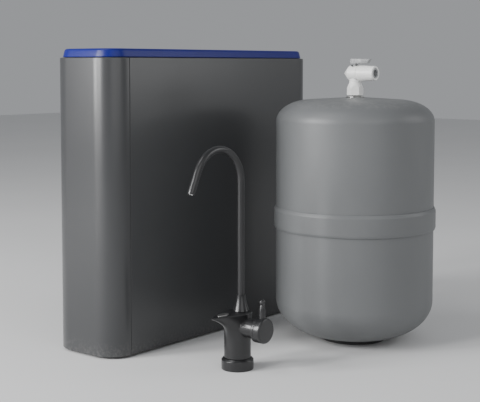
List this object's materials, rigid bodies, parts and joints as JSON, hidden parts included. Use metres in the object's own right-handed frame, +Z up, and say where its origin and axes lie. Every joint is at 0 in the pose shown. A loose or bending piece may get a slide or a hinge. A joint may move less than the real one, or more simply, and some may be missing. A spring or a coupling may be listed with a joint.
{
  "type": "under-sink reverse osmosis unit",
  "caption": "Slim under-sink reverse osmosis cabinet with lift-out filter cartridges, a pressure tank with a ball valve, and a gooseneck drinking-water faucet.",
  "frame": {"origin": "middle of the footprint of all three units, on the floor", "axes": "+Z up; the cabinet's narrow front and the faucet's spout face -Y; the cabinet's long side runs along Y, and the tank and the faucet stand on its +X side"},
  "size_m": [0.4122, 0.48, 0.4224],
  "materials": {
    "charcoal_cover": "satin dark grey plastic",
    "blue_lid": "semi-gloss blue",
    "black_moulding": "matte black",
    "white_moulding": "satin white",
    "grey_moulding": "satin grey",
    "carbon_block": "porous pressed carbon",
    "filter_media": "wound white fibre",
    "rubber": "matte black rubber",
    "grey_enamel": "satin grey enamel",
    "steel": "turned steel",
    "black_finish": "satin black coating"
  },
  "bodies": {
    "unit": {"rear_housing": "charcoal_cover", "chassis_tray": "black_moulding", "foot_pad_1": "rubber", "foot_pad_2": "rubber", "foot_pad_3": "rubber", "foot_pad_4": "rubber", "cartridge_rack": "black_moulding", "manifold": "white_moulding", "manifold_screw_1": "steel", "manifold_screw_2": "steel", "shutoff_valve_body": "white_moulding", "shutoff_diaphragm": "rubber", "shutoff_valve_cap": "blue_lid", "flow_restrictor": "white_moulding", "feed_port": "white_moulding", "drain_port": "white_moulding", "tank_port": "white_moulding", "faucet_port": "white_moulding", "tank_upper_shell": "grey_enamel", "tank_lower_shell": "grey_enamel", "tank_belt": "grey_enamel", "tank_bladder": "rubber", "tank_stem": "steel", "tank_foot_ring": "black_moulding", "air_valve": "steel", "tank_valve_body": "white_moulding", "faucet_base_ring": "black_finish", "faucet_body": "black_finish", "spout_collar": "black_finish", "lip_inlay": "steel", "valve_cartridge": "steel"},
    "front_cover": {"front_cover": "charcoal_cover"},
    "lid": {"lid": "blue_lid"},
    "valve_lever": {"tank_valve_lever": "grey_moulding", "tank_valve_ball": "steel"},
    "valve_collet": {"tank_valve_collet": "grey_moulding"},
    "spout": {"faucet_spout": "black_finish", "flow_straightener": "white_moulding"},
    "handle": {"faucet_handle": "black_finish", "valve_spindle": "steel"},
    "air_cap": {"air_valve_cap": "blue_lid"},
    "sediment": {"sediment_cartridge": "white_moulding", "sediment_element": "filter_media", "sediment_o_ring": "rubber"},
    "carbon": {"carbon_cartridge": "white_moulding", "carbon_element": "carbon_block", "carbon_o_ring": "rubber"},
    "membrane": {"membrane_cartridge": "white_moulding", "membrane_element": "filter_media", "membrane_o_ring": "rubber"},
    "polishing": {"polishing_cartridge": "white_moulding", "polishing_element": "carbon_block", "polishing_o_ring": "rubber"},
    "feed_collet": {"feed_port_collet": "grey_moulding"},
    "drain_collet": {"drain_port_collet": "grey_moulding"},
    "tank_collet": {"tank_port_collet": "grey_moulding"},
    "faucet_collet": {"faucet_port_collet": "grey_moulding"}
  },
  "joints": [
    {"name": "lid_lift", "type": "slide", "parent": "unit", "child": "lid", "axis": [0, 0, 1], "range_m": [0, 0.03]},
    {"name": "front_cover_pull", "type": "slide", "parent": "unit", "child": "front_cover", "axis": [0, -1, 0], "range_m": [0, 0.03]},
    {"name": "sediment_turn", "type": "hinge", "parent": "unit", "child": "sediment", "pos_m": [-0.14515, -0.16197, 0.055], "axis": [0, 0, 1], "range_deg": [0, 90]},
    {"name": "carbon_turn", "type": "hinge", "parent": "unit", "child": "carbon", "pos_m": [-0.14515, -0.05597, 0.055], "axis": [0, 0, 1], "range_deg": [0, 90]},
    {"name": "membrane_turn", "type": "hinge", "parent": "unit", "child": "membrane", "pos_m": [-0.14515, 0.05003, 0.055], "axis": [0, 0, 1], "range_deg": [0, 90]},
    {"name": "polishing_turn", "type": "hinge", "parent": "unit", "child": "polishing", "pos_m": [-0.14515, 0.15603, 0.055], "axis": [0, 0, 1], "range_deg": [0, 90]},
    {"name": "tank_valve_turn", "type": "hinge", "parent": "unit", "child": "valve_lever", "pos_m": [0.08885, 0.09153, 0.4], "axis": [0, 0, 1], "range_deg": [0, 90]},
    {"name": "valve_collet_push", "type": "slide", "parent": "unit", "child": "valve_collet", "axis": [-1, 0, 0], "range_m": [0, 0.001]},
    {"name": "feed_collet_push", "type": "slide", "parent": "unit", "child": "feed_collet", "axis": [0, -1, 0], "range_m": [0, 0.001]},
    {"name": "drain_collet_push", "type": "slide", "parent": "unit", "child": "drain_collet", "axis": [0, -1, 0], "range_m": [0, 0.001]},
    {"name": "tank_collet_push", "type": "slide", "parent": "unit", "child": "tank_collet", "axis": [0, -1, 0], "range_m": [0, 0.001]},
    {"name": "faucet_collet_push", "type": "slide", "parent": "unit", "child": "faucet_collet", "axis": [0, -1, 0], "range_m": [0, 0.001]},
    {"name": "spout_swivel", "type": "hinge", "parent": "unit", "child": "spout", "pos_m": [0.06185, -0.13727, 0.1], "axis": [0, 0, 1], "range_deg": [-120, 120]},
    {"name": "handle_turn", "type": "hinge", "parent": "unit", "child": "handle", "pos_m": [0.10185, -0.14447, 0.057], "axis": [1, 0, 0], "range_deg": [0, 90]},
    {"name": "air_cap_pull", "type": "slide", "parent": "unit", "child": "air_cap", "axis": [0, 1, 0], "range_m": [0, 0.012]}
  ]
}
